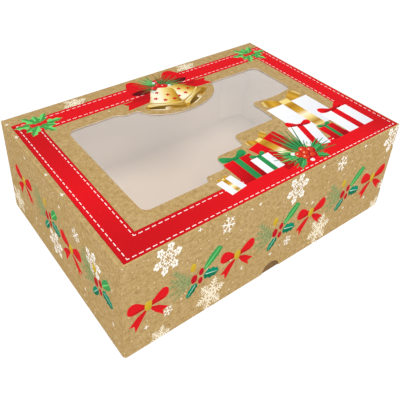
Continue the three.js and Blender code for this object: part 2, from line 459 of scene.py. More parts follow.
# Right half of the bow behind the bells
TOP_BOW_PLACE = (0.5, 1)
TOP_BOW_TAIL = (
    (11.6, -2.4), (28.9, -5.8), (36.6, -6.4), (33.6, -10), (36.9, -15.4), (19.5, -14.2), (12, -9),
)
TOP_BOW_TAIL_SHADE = ((11.6, -2.4), (28.9, -5.8), (24, -9), (12, -9))
TOP_BOW_LOOP = (
    (1, 0.5), (6, 8), (12.5, 16.4), (18.6, 17.6), (22.4, 12.5), (23.6, 4.2), (16, 1.2), (6, -1.4),
)
TOP_BOW_INSIDE = ((2, -0.5), (9, 2.4), (17, 3.6), (24, 1.6), (20, -2.2), (12, -3.2))
TOP_BOW_CREASE = ((3, 4), (13, 14), (9, 8))


def scaled(points, across, up):
    return [(x * across, y * up) for x, y in points]


def holly_leaf(pen, length, half, light, dark, vein=None, spikes=HOLLY_EDGE):
    """Spiky leaf along +x, lit on one half."""
    for side, paint in ((half, light), (-half, dark)):
        pen.fill([(0, 0), *scaled(spikes, length, side), (length, 0)], paint)
    if vein:
        pen.fill(stroke((length * 0.12, 0), (length * 0.86, 0), half * 0.14, half * 0.06), vein)


def berry(pen, size, dark, light):
    pen.fill(ellipse(0, 0, size, size), dark)
    upper = ellipse(-size * 0.12, size * 0.12, size * 0.78, size * 0.78)
    pen.fill(upper, lit(0, 0, size, size, light, dark))
    pen.fill(ellipse(-size * 0.32, size * 0.36, size * 0.17, size * 0.15, steps=6), GLINT)


def pine_sprig(pen, length, needles, reach):
    """Stem along +x with needles on both sides that shorten towards the tip."""
    pen.fill(stroke((0, 0), (length, 0), SPRIG_WIDTH * 1.4, SPRIG_WIDTH), SPRIG_GREENS[0])
    for i in range(2 * needles):
        share = (i // 2 + 0.5) / needles
        root = length * share
        long = reach * (1 - 0.5 * share) * (0.85 + 0.15 * cos(2.1 * i))
        angle = SPRIG_SPREAD * (1.1 - 0.4 * share) * (1 if i % 2 else -1)
        needle = stroke((root, 0), polar(long, angle, root), SPRIG_WIDTH, 0)
        pen.fill(needle, SPRIG_GREENS[i // 2 % len(SPRIG_GREENS)])


def needle_fan(pen, first, last, count, reach, width, paints):
    """Needles that spread from one point, alternately longer and shorter."""
    for i in range(count):
        angle = first + (last - first) * i / (count - 1)
        long = reach * (0.78 + 0.22 * cos(2.4 * i))
        pen.fill(stroke((0, 0), polar(long, angle), width, 0.3 * width), paints[i % len(paints)])


def snowflake(pen, radius, width, branches, paint, knob, ring=0.0):
    """Six arms with pairs of branches, knobs on the tips and a ring."""
    for arm in range(6):
        line = pen.child(turn=arm * SIXTH)
        line.fill(stroke((0, 0), (radius, 0), width), paint)
        for share, long in branches:
            root = radius * share
            for side in (-SIXTH, SIXTH):
                line.fill(stroke((root, 0), polar(radius * long, side, root), width * 0.85), paint)
        line.fill(ellipse(radius, 0, knob, knob * 0.8, steps=LOBE_STEPS), paint)
        if ring:
            line.fill(stroke((radius * ring, 0), polar(radius * ring, SIXTH), width * 0.8), paint)


def lobed_flake(pen, radius):
    for arm in range(6):
        for turn, lobes in ((arm * SIXTH, FLAKE_LOBES), ((arm + 0.5) * SIXTH, GAP_LOBES)):
            line = pen.child(size=radius, turn=turn)
            for lobe in lobes:
                line.fill(ellipse(*lobe, steps=LOBE_STEPS), SNOW)


def lace_flake(pen, radius):
    snowflake(pen, radius, radius * 0.09, LACE_BRANCHES, CREAM, radius * 0.06, ring=0.42)
    pen.child(turn=LACE_STAR_TURN).fill(star(6, radius * 0.32, radius * 0.13), CREAM)


def small_flake(pen, radius):
    turned = pen.child(turn=SMALL_FLAKE_TURN)
    snowflake(turned, radius, radius * 0.14, SMALL_BRANCHES, SNOW, radius * 0.08)


def sparkle(pen, radius):
    pen.fill(star(4, radius, radius * 0.3), SNOW)


def specks(panel, count, box, seed):
    """Small uneven flecks of snow over a box (left, low, right, high)."""
    rng = random.Random(seed)
    for _ in range(count):
        at = (rng.uniform(box[0], box[2]), rng.uniform(box[1], box[3]))
        size = rng.uniform(*SPECK_SIZE) * (LARGE_SPECK_SIZE if rng.random() < LARGE_SPECKS else 1.0)
        corners = []
        for k in range(6):
            x = rng.uniform(*SPECK_UNEVENNESS) * cos(k * SIXTH)
            corners.append((x, rng.uniform(*SPECK_UNEVENNESS) * sin(k * SIXTH)))
        pen = Pen(panel, at, size, rng.uniform(0, QUARTER))
        pen.fill(corners, ink("fff6e0", rng.uniform(*SPECK_COVER)))


def wall_bow(pen):
    for tail in BOW_TAILS:
        pen.fill(tail, Fade((0, -1), (0, -7), BOW_SHADE, BOW))
    for half in pen.halves():
        half.fill(smooth(BOW_LOOP), Fade((1.5, 0), (5, 2), BOW_SHADE, BOW))
        half.fill(BOW_CREASE, BOW_SHADE)
    pen.fill(smooth(BOW_KNOT), lit(0, 0, 2, 3, KNOT, KNOT_SHADE))


def feather_leaf(pen, length, half):
    """Blunt serrated leaf along +x with a pale rib."""
    upper = []
    for i in range(2 * FEATHER_TEETH + 1):
        share = i / (2 * FEATHER_TEETH)
        bulge = half * sin(pi * (0.08 + 0.7 * share)) ** 0.8
        upper.append((length * share, bulge * (1.0 if i % 2 else 0.8)))
    edge = upper + scaled(upper[::-1], 1, -1)
    pen.fill(edge, Fade((0, half), (0, -half), LEAF, LEAF_DARK))
    rib = stroke((length * 0.06, 0), (length * 0.94, 0), half * 0.3, half * 0.15)
    pen.fill(rib, LEAF_LIGHT)


def wall_cluster(pen, leaf_length):
    pen.each(pine_sprig, CLUSTER_SPRIGS, turned=True)
    pen.fill(ellipse(*CLUSTER_BULB), Fade(*CLUSTER_BULB_SHADE, KNOT, KNOT_SHADE))
    pen.each(feather_leaf, CLUSTER_FEATHERS, leaf_length, FEATHER_HALF, turned=True)
    pen.each(holly_leaf, CLUSTER_LEAVES, VEIN, TEAL_EDGE, turned=True)
    for oval in CLUSTER_BERRIES:
        pen.fill(ellipse(*oval), lit(*oval, BERRY_MID, BERRY))


def corner_holly(pen):
    for degrees, length in HOLLY_RING:
        holly_leaf(pen.child(turn=radians(degrees)), length, HOLLY_HALF, LEAF_LIGHT, LEAF_DARK)
    for at in HOLLY_BERRIES:
        pen.fill(ellipse(*at, *HOLLY_BERRY), lit(*at, *HOLLY_BERRY_SHADE, BERRY_LIGHT, BERRY_MID))


def parcel_bow(pen, width, paint, dark, shiny):
    reach, rise = width / 2, width * 0.32
    for half in pen.halves():
        loop = smooth(scaled(PARCEL_LOOP, reach, rise))
        clip = half.fill(loop, Fade((0, 0), (0.6 * reach, 0.5 * rise), dark, paint))
        if shiny:
            half.shine(clip, (0, 0), (1.05 * reach, 0.5 * rise), 4 * rise, GOLD_BOW_SHINE)
        else:
            half.fill(scaled(PARCEL_LOOP_SHADE, reach, rise), dark, clip)
    knot = rectangle(-0.13 * width, -0.03 * width, 0.13 * width, 0.13 * width)
    pen.fill(knot, GOLD_LIGHT if shiny else Fade((0, 0), (0, 0.1 * width), dark, paint))


def parcel(pen, width, height, wrap, ribbon, band, bow, offset):
    """Parcel that stands on its origin; a gold ribbon shines."""
    side, half = width / 2, band * width / 2
    shiny = ribbon is GOLD_WRAP
    middle = height / 2
    pen.fill(rectangle(-side, 0, side, height), lit(0, middle, 0.3 * width, middle, *wrap))
    strip = rectangle(offset - half, 0, offset + half, height)
    clip = pen.fill(strip, Fade((0, -height), (0, height), *reversed(ribbon)))
    if shiny:
        pen.shine(clip, (offset, height), (offset, 0), 2 * half, GOLD_BAND_SHINE)
    parcel_bow(pen.child((offset, height)), bow * width, *ribbon, shiny)


def bell(pen, half, height):
    """Gold bell that hangs from its origin, seen a little from below."""
    left, right = (-half, 0), (half, 0)
    side = smooth(scaled(BELL_SIDE, half, -height), closed=False)
    rim_level = -0.92 * height
    rim = ellipse(0, rim_level, half, 0.24 * half, -pi, 0)
    body = pen.fill(scaled(side, -1, 1) + rim[1:-1] + side[::-1], GOLD)
    pen.shine(body, left, right, 3 * height, BELL_SHINE)
    for level, up, first, last in BELL_BANDS:
        band = ellipse(0, level * height, half, 0.2 * half, -pi, 0)
        upper = [(x, y + up * height) for x, y in band]
        pen.fill(band + upper[::-1], Fade(left, right, first, last), body)
    mouth = ellipse(0, rim_level - 0.02 * height, 0.86 * half, 0.15 * half)
    pen.fill(mouth, Fade(left, right, MOUTH, MOUTH_LIGHT))
    clapper = ellipse(0.1 * half, rim_level - 0.06 * height, 0.22 * half, 0.13 * half)
    pen.fill(clapper, Fade((-3, 0), (3, 0), GOLD_WHITE, GOLD_DARK))
    for x, y in BELL_STARS:
        pen.child((x * half, y * height), turn=x).fill(star(*BELL_STAR), BERRY_MID)


def top_bow(pen):
    for half in pen.halves():
        half.fill(TOP_BOW_TAIL, Fade((12, -4), (36, -11), BOW_SHADE, BOW))
        half.fill(TOP_BOW_TAIL_SHADE, BOW_SHADE)
        half.fill(smooth(TOP_BOW_LOOP), Fade((2, 0), (16, 12), BOW_SHADE, BOW))
        half.fill(smooth(TOP_BOW_INSIDE), Fade((4, 0), (24, 2), BOW_DEEP, BOW_INSIDE))
        half.fill(TOP_BOW_CREASE, BOW_SHADE)


def bells(pen):
    top_bow(pen.child(TOP_BOW_PLACE))
    pen.each(needle_fan, FANS_BEHIND)
    pen.each(bell, BELL_PAIR, turned=True)
    pen.each(needle_fan, FANS_BEFORE)
    pen.each(berry, BELL_BERRIES, BERRY_MID, BERRY_LIGHT)
    for at in BELL_BALLS:
        pen.fill(ellipse(*at, BELL_BALL, BELL_BALL, steps=BALL_STEPS), SILVER)


# Print of the lid's top

RIBBON_OUTER = (-108.3, -75.9, 110.1, 66.4)
RIBBON_INNER = (-92.2, -59.9, 94.7, 50.1)
RIBBON_EDGE_WIDTH = 0.9
RIBBON_TONES = (
    ((0, RIBBON_SHADE), (0.25, RIBBON_MID), (0.4, RIBBON), (0.85, RIBBON), (1, RIBBON_SHADE)),
    ((0, RIBBON_SHADE), (0.2, RIBBON_MID), (0.4, RIBBON), (1, RIBBON)),
    ((0, RIBBON), (1, RIBBON)),
    ((0, RIBBON_SHADE), (0.3, RIBBON_MID), (0.6, RIBBON), (0.8, RIBBON_MID), (1, RIBBON_SHADE)),
)
STITCH_LINES = ((-105.2, -74, 107.5, 64.1), (-94.1, -62.2, 96.4, 52.6))
STITCH_PERIOD = 4.1
STITCH_LENGTH = 2.6
STITCH_WIDTH = 0.5
HOLLY_PLACES = ((-92, 58.7), (95, 59.7))
BELLS_PLACE = (2, 54.5)
SPRAY_PLACE = (32.4, -64.4)
TOP_SPECKS = 70
TOP_SPECKS_FRONT = -50
TOP_FLAKES = ((-60.5, 69.5, 0.2, 9), (36.5, 70.5, 0.2, 9))
TOP_SPARKLES = ((-109.6, 70, 1.8), (-109.8, 53, 2), (-110.3, 8, 1.6), (-110.3, -13, 2))

# Parcels from the back of the pile to the front; sizes are in millimetres, band and bow in shares of them
PARCELS = (
    (65.8, -46, 0, 39.4, 33, WHITE_WRAP, GOLD_WRAP, 0.21, 0.82, 0),
    (87, -63.2, 0, 25, 24.8, WHITE_WRAP, RED_WRAP, 0.24, 0.86, 0),
    (66.4, -63.6, 0, 13.8, 14.6, RED_WRAP, GREEN_WRAP, 0.2, 0.74, 0),
    (24.8, -66, 0.23, 28, 30, RED_WRAP, GOLD_WRAP, 0.21, 0.66, -0.6),
    (45.2, -61.4, -0.29, 19.4, 23, WHITE_WRAP, RED_WRAP, 0.24, 0.92, 0),
    (-8.6, -64.3, 0, 21.4, 21.2, RED_WRAP, GREEN_WRAP, 0.21, 0.9, 0),
    (5.2, -64.3, 0, 14.8, 15.2, WHITE_WRAP, GREEN_WRAP, 0.25, 0.74, 0),
    (-25.8, -66.4, 0.14, 12.4, 12.6, WHITE_WRAP, GOLD_WRAP, 0.24, 0.62, 0),
)

# Spray: needle fans (first and last angle, count, reach, greens), and what lies on them
DARK_NEEDLES = (PINE, PINE_DARK, LEAF)
PALE_NEEDLES = (PINE_LIGHT, LEAF_LIGHT, PINE)
BROWN_NEEDLES = (PINE_BROWN, PINE_LIGHT, PINE)
SPRAY_FANS = (
    (1.12, 1.97, 13, 30, DARK_NEEDLES), (2.07, 2.62, 9, 17, BROWN_NEEDLES),
    (2.41, 3.08, 13, 24, PALE_NEEDLES), (3.17, 3.72, 9, 18, DARK_NEEDLES),
    (-0.14, 0.53, 13, 23, DARK_NEEDLES), (0.61, 1.02, 7, 15, PALE_NEEDLES),
    (-0.63, -0.21, 7, 13, BROWN_NEEDLES),
)
SPRAY_NEEDLE_WIDTH = 1.6
SPRAY_LEAVES = ((-6.5, -3, 3.7), (4.5, -3.5, -0.65), (7, 0.5, 0.25), (-7, 3, 2.7))
SPRAY_LEAF = (8.5, 3.2, LEAF, PINE, LEAF_LIGHT)
SPRAY_BALLS = ((-8, 5), (-1.6, -5.6), (7.8, 6.4))
SPRAY_BALL = 1.6
SPRAY_BERRIES = (
    (-4.6, 2.4, 3.2), (1, 4.8, 3.2), (5.2, 2.2, 3.1), (-2.2, -1.6, 3.1), (2.8, -1.8, 3.1), (0.3, 1.5, 2.9),
)


def stitches(pen, start, end):
    """Dashes along a line, with half a dash at each end so that corners meet."""
    start, end = Vector(start), Vector(end)
    run = end - start
    count = round(run.length / STITCH_PERIOD)
    along = run.normalized() * STITCH_LENGTH / 2
    for i in range(count + 1):
        middle = start + run * i / count
        pen.fill(stroke(middle - along * (i > 0), middle + along * (i < count), STITCH_WIDTH), STITCH)


def ribbon_frame(pen):
    """Four mitred strips with darker edges and stitches."""
    reach = 4 * (RIBBON_INNER[0] - RIBBON_OUTER[0])
    sides = zip(pairs(rectangle(*RIBBON_OUTER)), pairs(rectangle(*RIBBON_INNER)), RIBBON_TONES)
    for outer, inner, stops in sides:
        strip = pen.fill([*outer, *reversed(inner)], RIBBON)
        pen.shine(strip, *outer, reach, stops)
        for line in (outer, inner):
            pen.fill(stroke(*line, RIBBON_EDGE_WIDTH), RIBBON_EDGE, strip)
    for line in STITCH_LINES:
        for start, end in pairs(rectangle(*line)):
            stitches(pen, start, end)


def spray(pen):
    for first, last, count, reach, paints in SPRAY_FANS:
        needle_fan(pen, first, last, count, reach, SPRAY_NEEDLE_WIDTH, paints)
    pen.each(holly_leaf, SPRAY_LEAVES, *SPRAY_LEAF, turned=True)
    for at in SPRAY_BALLS:
        ball = ellipse(*at, SPRAY_BALL, SPRAY_BALL, steps=BALL_STEPS)
        pen.fill(ball, lit(*at, 1, 1, GLINT, SILVER))
    pen.each(berry, SPRAY_BERRIES, BERRY, BERRY_WARM)


def print_lid_top(panel, seed):
    pen = Pen(panel)
    specks(panel, TOP_SPECKS, (-lid_side, TOP_SPECKS_FRONT, lid_side, box_back), seed)
    pen.each(lace_flake, TOP_FLAKES, turned=True)
    pen.each(sparkle, TOP_SPARKLES)
    ribbon_frame(pen)
    pen.each(corner_holly, HOLLY_PLACES)
    bells(pen.child(BELLS_PLACE))
    pen.each(parcel, PARCELS, turned=True)
    spray(pen.child(SPRAY_PLACE))


# Print of the walls; flakes are rows of kind, radius and places

BAND_LEVEL = 34.7
SPECK_DENSITY = 0.02
FLAKE_TURN = 0.24
LONG_PRINT = dict(
    reach=lid_side, leaf_length=16.4, narrowing=0.75,
    bows=[(x, BAND_LEVEL) for x in (-94.8, -32, 31.4, 95)],
    clusters=[(x, BAND_LEVEL) for x in (-59.8, 3.2, 67)],
    flakes=(
        (lobed_flake, 11.2, ((-82.6, 63.2), (13.4, 63.9), (107, 64.8))),
        (lace_flake, 13.8, ((-51, 12.6), (43.6, 12.6))),
        (lace_flake, 9.6, ((-87.4, 1),)),
        (lace_flake, 9, ((107.5, 1),)),
        (small_flake, 6.4, ((-41.5, 64.3), (54, 65.3))),
        (small_flake, 4.4, ((-82, 20.6), (12, 20.6), (110, 21.6))),
    ),
    sparkles=(
        (-62, 72, 2), (-18, 67.5, 1.8), (35, 71, 2), (76, 70, 1.8), (-96.5, 17.2, 2.2),
        (-27, 19.4, 1.6), (-2.5, 17, 1.8), (31, 43.5, 1.8), (91, 17.6, 2), (67.5, 20, 1.6),
    ),
)
SHORT_PRINT = dict(
    reach=box_back, leaf_length=11.8, narrowing=0.9,
    bows=((-49, 41.6), (18.4, 36.4)), clusters=((-9.5, 38.6), (53.4, 37.8)),
    flakes=(
        (lobed_flake, 10, ((-5, 21.5),)), (lobed_flake, 9.6, ((46.5, 50),)),
        (lace_flake, 11, ((-67, 13),)), (small_flake, 5, ((27.5, 55.5),)),
    ),
    sparkles=((-40, 67, 1.8), (8, 62, 1.8), (66, 20, 1.8), (33, 16, 1.8), (-36, 18, 1.8)),
)


def print_wall(panel, seed, reach, bows, clusters, leaf_length, flakes, narrowing, sparkles):
    """Band of bows and clusters in snow; reach is half the wall's length."""
    pen = Pen(panel)
    count = round(SPECK_DENSITY * 2 * reach * (box_top - lid_bottom))
    specks(panel, count, (-reach, lid_bottom, reach, box_top), seed)
    for draw, radius, places in flakes:
        for place in places:
            draw(pen.child(place, flip=narrowing).child(turn=FLAKE_TURN), radius)
    pen.each(sparkle, sparkles)
    pen.each(wall_cluster, clusters, leaf_length)
    pen.each(wall_bow, bows)


# Folded board: a place function gives the point at (u, v) on a flat panel and a depth in the board

FOLD_LEVELS = [FOLD_RADIUS * (2 * i / FOLD_STEPS - 1) for i in range(FOLD_STEPS + 1)]
NO_FOLD = 1000.0
NORMAL_STEP = 1e-3


def bend(past, depth):
    """Section of a fold. past runs along the outside, from before the sharp edge to beyond it.

    Gives the distances in from the plane beyond the fold and in from the plane before it.
    """
    if past <= -FOLD_RADIUS:
        return -past, depth
    if past >= FOLD_RADIUS:
        return depth, past
    angle = (past + FOLD_RADIUS) / (2 * FOLD_RADIUS) * QUARTER
    reach = FOLD_RADIUS - depth
    return FOLD_RADIUS - reach * sin(angle), FOLD_RADIUS - reach * cos(angle)


def folded(at, low, high, depth):
    """Place along an axis, and drop, of a sheet that is folded where it passes low and high."""
    if at < 0:
        inward, drop = bend(low - at, depth)
        return low + inward, drop
    inward, drop = bend(at - high, depth)
    return high - inward, drop


def place_lid_top(u, v, depth):
    x, side_drop = folded(u, -lid_side, lid_side, depth)
    y, front_drop = folded(v, lid_front, NO_FOLD, depth)
    return x, y, box_top - side_drop - front_drop + depth


def place_wall(level, view):
    """Wall with its outside at a y level; view is 1 for a wall seen from the front and -1 from behind."""
    return lambda u, v, depth: (view * u, level + view * depth, v)


def place_end(side, level, front, back):
    """End wall with its outside at an x level, folded in at its front and back."""
    def place(u, v, depth):
        y, drop = folded(side * u, front, back, depth)
        return side * (level - drop), y, v
    return place


def tray_bow(u):
    """How far the tray's front edge bows out at a place along it."""
    share = min(1.0, abs(u) / tray_tab_tip)
    return TRAY_BOW * (1 - share ** 2) ** 2


def place_tray_front(u, v, depth):
    return u, tray_front - tray_bow(u) + depth, v


def place_floor(u, v, depth):
    """Floor seen from below, with its edges folded up."""
    x, side_rise = folded(-u, -tray_side, tray_side, depth)
    y, rise = folded(v, tray_front, box_back, depth)
    if v < 0:
        y -= tray_bow(u) * min(1.0, (v / tray_front) ** 2)
    return x, y, side_rise + rise - depth


def place_crease(u, v, depth):
    """Hinge crease seen from behind, from the back wall up and over to the lid."""
    down, inward = bend(v - box_top, depth)
    return -u, box_back - inward, box_top - down


def place_film(u, v, depth):
    along = sin(u / FILM_WAVE_LENGTH * TURN + v / FILM_WAVE_SLANTS[0])
    across = cos(v / FILM_WAVE_LENGTH * TURN - u / FILM_WAVE_SLANTS[1])
    return u, v, film_high.z - depth + FILM_WAVE * (along * across - 1)


def normal_at(place, u, v):
    """Outward direction of a placed sheet."""
    along = Vector(place(u + NORMAL_STEP, v, 0)) - Vector(place(u - NORMAL_STEP, v, 0))
    up = Vector(place(u, v + NORMAL_STEP, 0)) - Vector(place(u, v - NORMAL_STEP, 0))
    return along.cross(up).normalized()


def add_object(name, data):
    made = bpy.data.objects.new(name, data)
    bpy.context.scene.collection.objects.link(made)
    return made


def make_sheet(name, panel, place, thickness, materials):
    """Closed mesh of a placed panel: outside, inside and cut edge, with ink on its outside."""
    flat, cells, paints = panel.cut()
    count = len(flat)
    points = [Vector(place(u, v, depth)) * MM for depth in (0, thickness) for u, v in flat]
    normals = [normal_at(place, u, v) for u, v in flat]
    rim = [(j, i, i + count, j + count) for i, j in open_edges(cells)]
    faces = cells + [[i + count for i in reversed(cell)] for cell in cells] + rim

    mesh = bpy.data.meshes.new(name)
    mesh.from_pydata(points, [], faces)
    for material in materials:
        mesh.materials.append(material)
    kinds = [0] * len(cells) + [1] * len(cells) + [2] * len(rim)
    mesh.polygons.foreach_set("material_index", kinds)
    mesh.polygons.foreach_set("use_smooth", [True] * len(faces))

    bare, inner_rim = (0.0, 0.0, 0.0, 0.0), (1.0, 1.0, 1.0, 1.0)
    inks, uvs, corner_normals = [], [], []
    for face, polygon in enumerate(mesh.polygons):
        paint = paints[face] if face < len(cells) else None
        for vertex in polygon.vertices:
            u, v = flat[vertex % count]
            if kinds[face] == 2:
                paint = inner_rim if vertex >= count else bare
            inks.extend(paint.at(u, v) if isinstance(paint, Fade) else paint or bare)
            uvs.extend((u * MM, v * MM))
            across = normals[vertex % count] if kinds[face] == 0 else -normals[vertex % count]
            corner_normals.append(polygon.normal.copy() if kinds[face] == 2 else across)
    mesh.color_attributes.new("ink", "FLOAT_COLOR", "CORNER").data.foreach_set("color", inks)
    mesh.uv_layers.new(name="sheet").data.foreach_set("uv", uvs)
    mesh.normals_split_custom_set(corner_normals)
    return add_object(name, mesh)


# Materials

# Noise scale, detail and roughness of each pattern
CLOUD_NOISE = (60.0, 3.0, 0.55)
BLOTCH_NOISE = (330.0, 4.0, 0.6)
GRAIN_NOISE = (1000.0, 5.0, 0.7)
THREAD_NOISE = (260.0, 2.0, 0.5)
FLECK_NOISE = (520.0, 2.0, 0.4)
LINER_NOISE = (55.0, 3.0, 0.55)
LINER_GRAIN_NOISE = (1300.0, 5.0, 0.6)
EDGE_NOISE = (1500.0, 4.0, 0.55)
HAZE_NOISE = (30.0, 3.0, 0.55)
GLUE_NOISE = (400.0, 3.0, 0.55)

# Turn and stretch of the fibres' noise, and the ranges of noise that show
THREAD_RUNS = ((0.5, 9.0), (2.1, 8.0), (1.2, 10.0))
FLECK_RUN = (0.8, 2.5)
THREAD_RANGE = (0.62, 0.72)
LINER_RANGE = (0.66, 0.8)
HAZE_RANGE = (0.3, 0.7)

# Grain that kraft shows through the ink with, and least and most of that; strength and depth of bumps
SHOWING = (0.62, 0.8, 0.0, 0.25)
KRAFT_BUMP = (0.25, 0.08 * MM)
LINER_BUMP = (0.1, 0.04 * MM)

# Kraft's base, warm, light and dark tones, and other tones
PRINTED_TONES = (ink("b89860"), ink("bd9f6d"), ink("d0b481"), ink("8e6c3a"))
# Unprinted tray kraft, darker partly as the board's own tone and partly as painted shade for the recess
# behind the thumb notch
PLAIN_AND_SHADE_TONES = (ink("7f6344"), ink("785c3f"), ink("94764f"), ink("694d31"))
FLECK = ink("6e4f26")
LINER_TONES = (colour("f3e8de"), colour("f6ece4"))
LINER_FLECK = colour("d8cabb")
FILM_TINTS = (colour("fffaf4"), colour("fffcf8"))
FILM_SHEEN = colour("fffbf7")
GLUE_TONES = (colour("ddd0ae"), colour("efe6cc"))

# Cut edges: the liner's tone, the share of the depth that shows the core, and the change between them
LINER = colour("e0d4c6")
CORE_DEPTH = 0.94
PALE_CORE_DEPTH = 0.1
CORE_FADE = 0.12

# Tray's folds: tone, strength, reach and fall of the painted shade that darkens the lining beside them
FOLD_SHADE_TONE = colour("a8988a")
FOLD_SHADE = 0.46
FOLD_SHADE_REACH = 26.0
FOLD_SHADE_FALL = 1.6

# Gloss and roughness
PRINT_GLOSS = 0.05
LINER_GLOSS = 0.3
FILM_GLOSS = 0.125
FILM_GLOSS_FALL = 2.0
FILM_FACING = 0.5
KRAFT_ROUGHNESS = 0.86
PRINT_ROUGHNESS = 0.6
LINER_ROUGHNESS = 0.75
EDGE_ROUGHNESS = 0.9
FILM_ROUGHNESS = 0.08
GLUE_ROUGHNESS = 0.45


def node(tree, kind, inputs=None, **settings):
    """Adds a shader node; inputs are values or other nodes' outputs."""
    made = tree.nodes.new("ShaderNode" + kind)
    for key, value in settings.items():
        setattr(made, key, value)
    for key, value in (inputs or {}).items():
        if isinstance(value, bpy.types.NodeSocket):
            tree.links.new(value, made.inputs[key])
        else:
            made.inputs[key].default_value = value
    return made


def mix(tree, factor, first, last):
    return node(tree, "Mix", {0: factor, 6: first, 7: last}, data_type="RGBA").outputs[2]


def calc(tree, operation, first, last):
    return node(tree, "Math", {0: first, 1: last}, operation=operation, use_clamp=True).outputs[0]


def noise(tree, where, scale, detail, roughness):
    inputs = {"Vector": where, "Scale": scale, "Detail": detail, "Roughness": roughness}
    return node(tree, "TexNoise", inputs).outputs["Fac"]


def ramp(tree, factor, low, high, first=0.0, last=1.0):
    """Share from first at low to last at high."""
    inputs = {"Value": factor, "From Min": low, "From Max": high, "To Min": first, "To Max": last}
    return node(tree, "MapRange", inputs).outputs["Result"]


def bump(tree, height, strength, distance):
    inputs = {"Height": height, "Strength": strength, "Distance": distance}
    return node(tree, "Bump", inputs).outputs["Normal"]


def new_tree(owner):
    """Empty node tree of a material or world, after its owner."""
    owner.use_nodes = True
    owner.node_tree.nodes.clear()
    return owner, owner.node_tree


def new_material(name):
    return new_tree(bpy.data.materials.new(name))


def finish(owner, inputs, kind="BsdfPrincipled", output="OutputMaterial"):
    """Adds a shader, puts it on the surface and gives its owner back."""
    shader = node(owner.node_tree, kind, inputs)
    node(owner.node_tree, output, {"Surface": shader.outputs[0]})
    return owner


def sheet_place(tree, turn=0.0, stretch=1.0):
    """Place on the flat sheet, in metres, turned and drawn out for fibres."""
    uv = node(tree, "UVMap", uv_map="sheet").outputs["UV"]
    inputs = {"Vector": uv, "Rotation": (0, 0, turn), "Scale": (1.0, stretch, 1.0)}
    return node(tree, "Mapping", inputs).outputs["Vector"]


def kraft_board(name, kraft, warm, light, dark):
    """Brown kraft with fibres and flecks, printed with the sheet's ink."""
    material, tree = new_material(name)
    flat = sheet_place(tree)
    cloud, blotch, grain = (noise(tree, flat, *kind) for kind in (CLOUD_NOISE, BLOTCH_NOISE, GRAIN_NOISE))
    threads = 0.0
    for run in THREAD_RUNS:
        thread = ramp(tree, noise(tree, sheet_place(tree, *run), *THREAD_NOISE), *THREAD_RANGE)
        threads = calc(tree, "MAXIMUM", threads, thread)
    flecks = noise(tree, sheet_place(tree, *FLECK_RUN), *FLECK_NOISE)
    layers = (
        (cloud, 0.35, 0.65, 1.0, warm), (blotch, 0.5, 0.7, 0.7, light), (blotch, 0.48, 0.3, 0.55, dark),
        (grain, 0.52, 0.68, 0.6, light), (grain, 0.48, 0.32, 0.7, dark), (threads, 0.0, 1.0, 0.8, light),
        (flecks, 0.68, 0.74, 0.7, FLECK),
    )
    board = kraft
    for pattern, low, high, strength, tone in layers:
        board = mix(tree, ramp(tree, pattern, low, high, 0.0, strength), board, tone)

    printing = node(tree, "VertexColor", layer_name="ink").outputs
    cover = calc(tree, "SUBTRACT", printing["Alpha"], ramp(tree, grain, *SHOWING))
    return finish(material, {
        "Base Color": mix(tree, cover, board, printing["Color"]),
        "Roughness": ramp(tree, printing["Alpha"], 0.0, 1.0, KRAFT_ROUGHNESS, PRINT_ROUGHNESS),
        "Normal": bump(tree, grain, *KRAFT_BUMP), "Specular IOR Level": PRINT_GLOSS,
    })


def fold_distance(tree):
    """Distance to the tray's nearest fold: the middle one of those to ends, walls and floor."""
    place = node(tree, "TexCoord").outputs["Object"]
    x, y, z = node(tree, "SeparateXYZ", {0: place}).outputs
    end, front, back = (tray_side - BOARD) * MM, (tray_front + BOARD) * MM, (box_back - BOARD) * MM
    gaps = []
    for at, low, high in ((x, -end, end), (y, front, back)):
        sides = calc(tree, "SUBTRACT", at, low), calc(tree, "SUBTRACT", high, at)
        gaps.append(calc(tree, "MINIMUM", *sides))
    to_floor = calc(tree, "SUBTRACT", z, BOARD * MM)
    far, near = (calc(tree, kind, *gaps) for kind in ("MAXIMUM", "MINIMUM"))
    return calc(tree, "MAXIMUM", near, calc(tree, "MINIMUM", far, to_floor))


def white_board(name, fold_shade=0.0):
    """White lining, with painted shade that may darken it towards the tray's folds."""
    material, tree = new_material(name)
    flat = sheet_place(tree)
    tone = mix(tree, noise(tree, flat, *LINER_NOISE), *LINER_TONES)
    grain = noise(tree, flat, *LINER_GRAIN_NOISE)
    tone = mix(tree, ramp(tree, grain, *LINER_RANGE), tone, LINER_FLECK)
    # Painted shade: the lining darkens towards the tray's folds, where shade falls
    if fold_shade:
        near = ramp(tree, fold_distance(tree), FOLD_SHADE_REACH * MM, 0.0)
        shade = calc(tree, "MULTIPLY", calc(tree, "POWER", near, FOLD_SHADE_FALL), fold_shade)
        tone = mix(tree, shade, tone, FOLD_SHADE_TONE)
    return finish(material, {
        "Base Color": tone, "Normal": bump(tree, grain, *LINER_BUMP), "Roughness": LINER_ROUGHNESS,
        "Specular IOR Level": LINER_GLOSS,
    })


def cut_edge(name, core_depth, light, dark):
    """Cut edge: kraft core to a share of the depth, then the white liner."""
    material, tree = new_material(name)
    core = mix(tree, noise(tree, sheet_place(tree), *EDGE_NOISE), dark, light)
    depth = node(tree, "VertexColor", layer_name="ink").outputs["Alpha"]
    tone = mix(tree, ramp(tree, depth, core_depth, core_depth + CORE_FADE), core, LINER)
    return finish(material, {
        "Base Color": tone, "Roughness": EDGE_ROUGHNESS, "Specular IOR Level": PRINT_GLOSS,
    })


